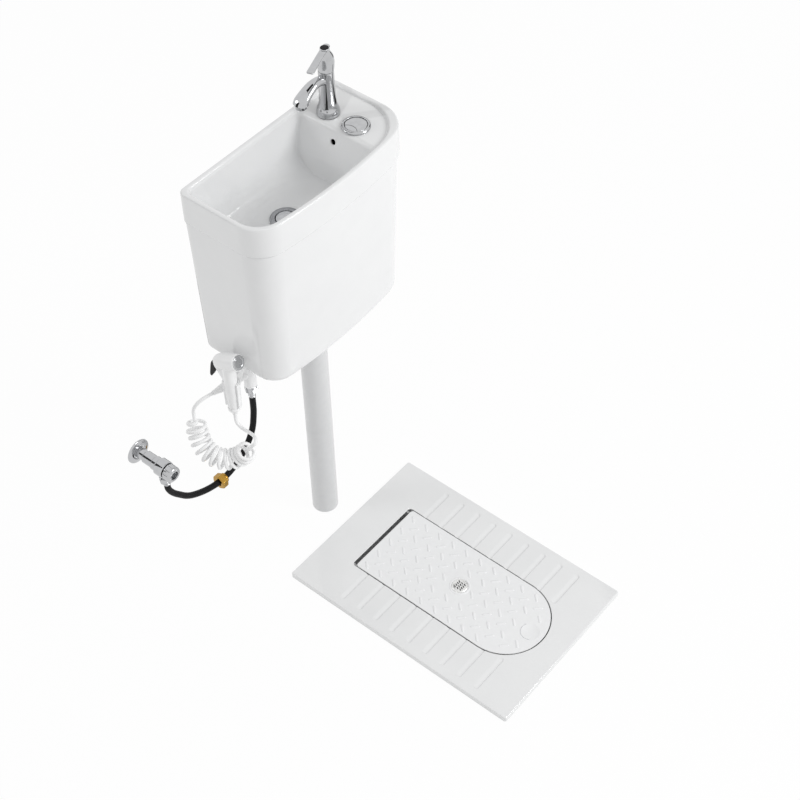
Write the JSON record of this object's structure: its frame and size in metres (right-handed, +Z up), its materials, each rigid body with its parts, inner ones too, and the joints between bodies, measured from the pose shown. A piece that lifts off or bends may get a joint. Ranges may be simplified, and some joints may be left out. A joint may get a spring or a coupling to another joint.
{
  "type": "squat toilet",
  "caption": "Wall-hung tank with a hand basin and tap on top, flush pipe, floor pan with ribbed foot rests and a lift-off cover, wall stop valve with hose, and a sprayer on a spiral hose.",
  "frame": {"origin": "the flush pipe's axis at the finished floor, in the plane of the elbow's rim", "axes": "+Z up along the flush pipe, +Y into the wall, +X right along the wall as seen from the room"},
  "size_m": [0.6335, 0.767, 1.3739],
  "materials": {
    "ceramic": "gloss",
    "white_plastic": "gloss",
    "satin_white": "satin",
    "fittings_white": "satin",
    "pipe_grey": "gloss",
    "chrome": "polished",
    "steel": "satin",
    "brass": "satin",
    "black_rubber": "matte",
    "grey_rubber": "matte",
    "red_rubber": "matte",
    "drain_grey": "satin",
    "blue_plastic": "satin",
    "dark_plastic": "satin",
    "braid": "satin"
  },
  "bodies": {
    "fixture": {"tank": "ceramic", "basin_top": "ceramic", "pan": "ceramic", "tee": "white_plastic", "tee_nut": "white_plastic", "sprayer_body": "white_plastic", "sprayer_tail": "white_plastic", "hose_cone": "white_plastic", "hose_lead_tee": "white_plastic", "spiral_hose": "white_plastic", "hose_lead_grip": "white_plastic", "sprayer_holder": "satin_white", "pipe_nut": "satin_white", "button_nut": "fittings_white", "cable_box": "fittings_white", "flush_seat": "fittings_white", "flush_nut": "fittings_white", "flush_tower": "fittings_white", "fill_valve": "fittings_white", "fill_nut": "fittings_white", "tap_cartridge": "fittings_white", "flush_pipe": "pipe_grey", "floor_elbow": "pipe_grey", "tap_body": "chrome", "tap_aerator": "chrome", "button_bezel": "chrome", "wall_plate": "chrome", "stop_body": "chrome", "supply_fittings": "chrome", "spray_face": "chrome", "trigger_pin": "chrome", "full_spring": "steel", "half_spring": "steel", "fill_pin": "steel", "tap_nut": "brass", "spare_nut": "brass", "supply_hose": "black_rubber", "pan_seal": "black_rubber", "tap_gasket": "black_rubber", "flush_cable": "black_rubber", "waste_seal": "grey_rubber", "flush_gasket": "grey_rubber", "fill_washer": "grey_rubber", "waste_flange": "drain_grey", "waste_nut": "drain_grey", "tap_feed_hose": "braid"},
    "plug": {"waste_plug": "chrome"},
    "tap_handle": {"tap_lever": "chrome", "tap_cap": "dark_plastic", "tap_stem": "brass"},
    "full_flush": {"button_full": "chrome"},
    "half_flush": {"button_half": "chrome"},
    "canister": {"flush_float": "blue_plastic", "flush_seal": "red_rubber"},
    "float": {"fill_float": "blue_plastic"},
    "float_arm": {"fill_arm": "blue_plastic"},
    "valve_knob": {"stop_knob": "chrome"},
    "trigger": {"sprayer_trigger": "dark_plastic"},
    "cover": {"cover_plate": "white_plastic", "strainer": "chrome"}
  },
  "joints": [
    {"name": "plug_lift", "type": "slide", "parent": "fixture", "child": "plug", "axis": [0, 0, 1], "range_m": [0, 0.008]},
    {"name": "tap_turn", "type": "hinge", "parent": "fixture", "child": "tap_handle", "pos_m": [0.123, 0.034, 1.101], "axis": [0, 0, 1], "range_deg": [0, 90]},
    {"name": "full_flush_press", "type": "slide", "parent": "fixture", "child": "full_flush", "axis": [0, 0, -1], "range_m": [0, 0.005], "stiffness_N_per_m": 1600, "springref_m": -0.004, "deforming": ["full_spring"]},
    {"name": "half_flush_press", "type": "slide", "parent": "fixture", "child": "half_flush", "axis": [0, 0, -1], "range_m": [0, 0.005], "stiffness_N_per_m": 1200, "springref_m": -0.003, "deforming": ["half_spring"]},
    {"name": "canister_lift", "type": "slide", "parent": "fixture", "child": "canister", "axis": [0, 0, 1], "range_m": [0, 0.02]},
    {"name": "float_rise", "type": "slide", "parent": "fixture", "child": "float", "axis": [0, 0, 1], "range_m": [0, 0.01]},
    {"name": "float_arm_swing", "type": "hinge", "parent": "fixture", "child": "float_arm", "pos_m": [-0.16, 0.031, 0.834], "axis": [-1, 0, 0], "range_deg": [0, 17]},
    {"name": "stop_valve_turn", "type": "hinge", "parent": "fixture", "child": "valve_knob", "pos_m": [-0.406, 0.012, 0.483], "axis": [0, -1, 0], "range_deg": [0, 90]},
    {"name": "trigger_squeeze", "type": "hinge", "parent": "fixture", "child": "trigger", "pos_m": [-0.22785, 0.00995, 0.663], "axis": [-0.9925, -0.1219, 0], "range_deg": [0, 8], "stiffness_Nm_per_rad": 0.6, "springref_deg": -2.86},
    {"name": "cover_lift", "type": "slide", "parent": "fixture", "child": "cover", "axis": [0, 0, 1], "range_m": [0, 0.08]}
  ],
  "couplings": [
    {"joint": "canister_lift", "follows": "full_flush_press", "ratio": 4},
    {"joint": "float_arm_swing", "follows": "float_rise", "rad_per_m": 28.57}
  ]
}
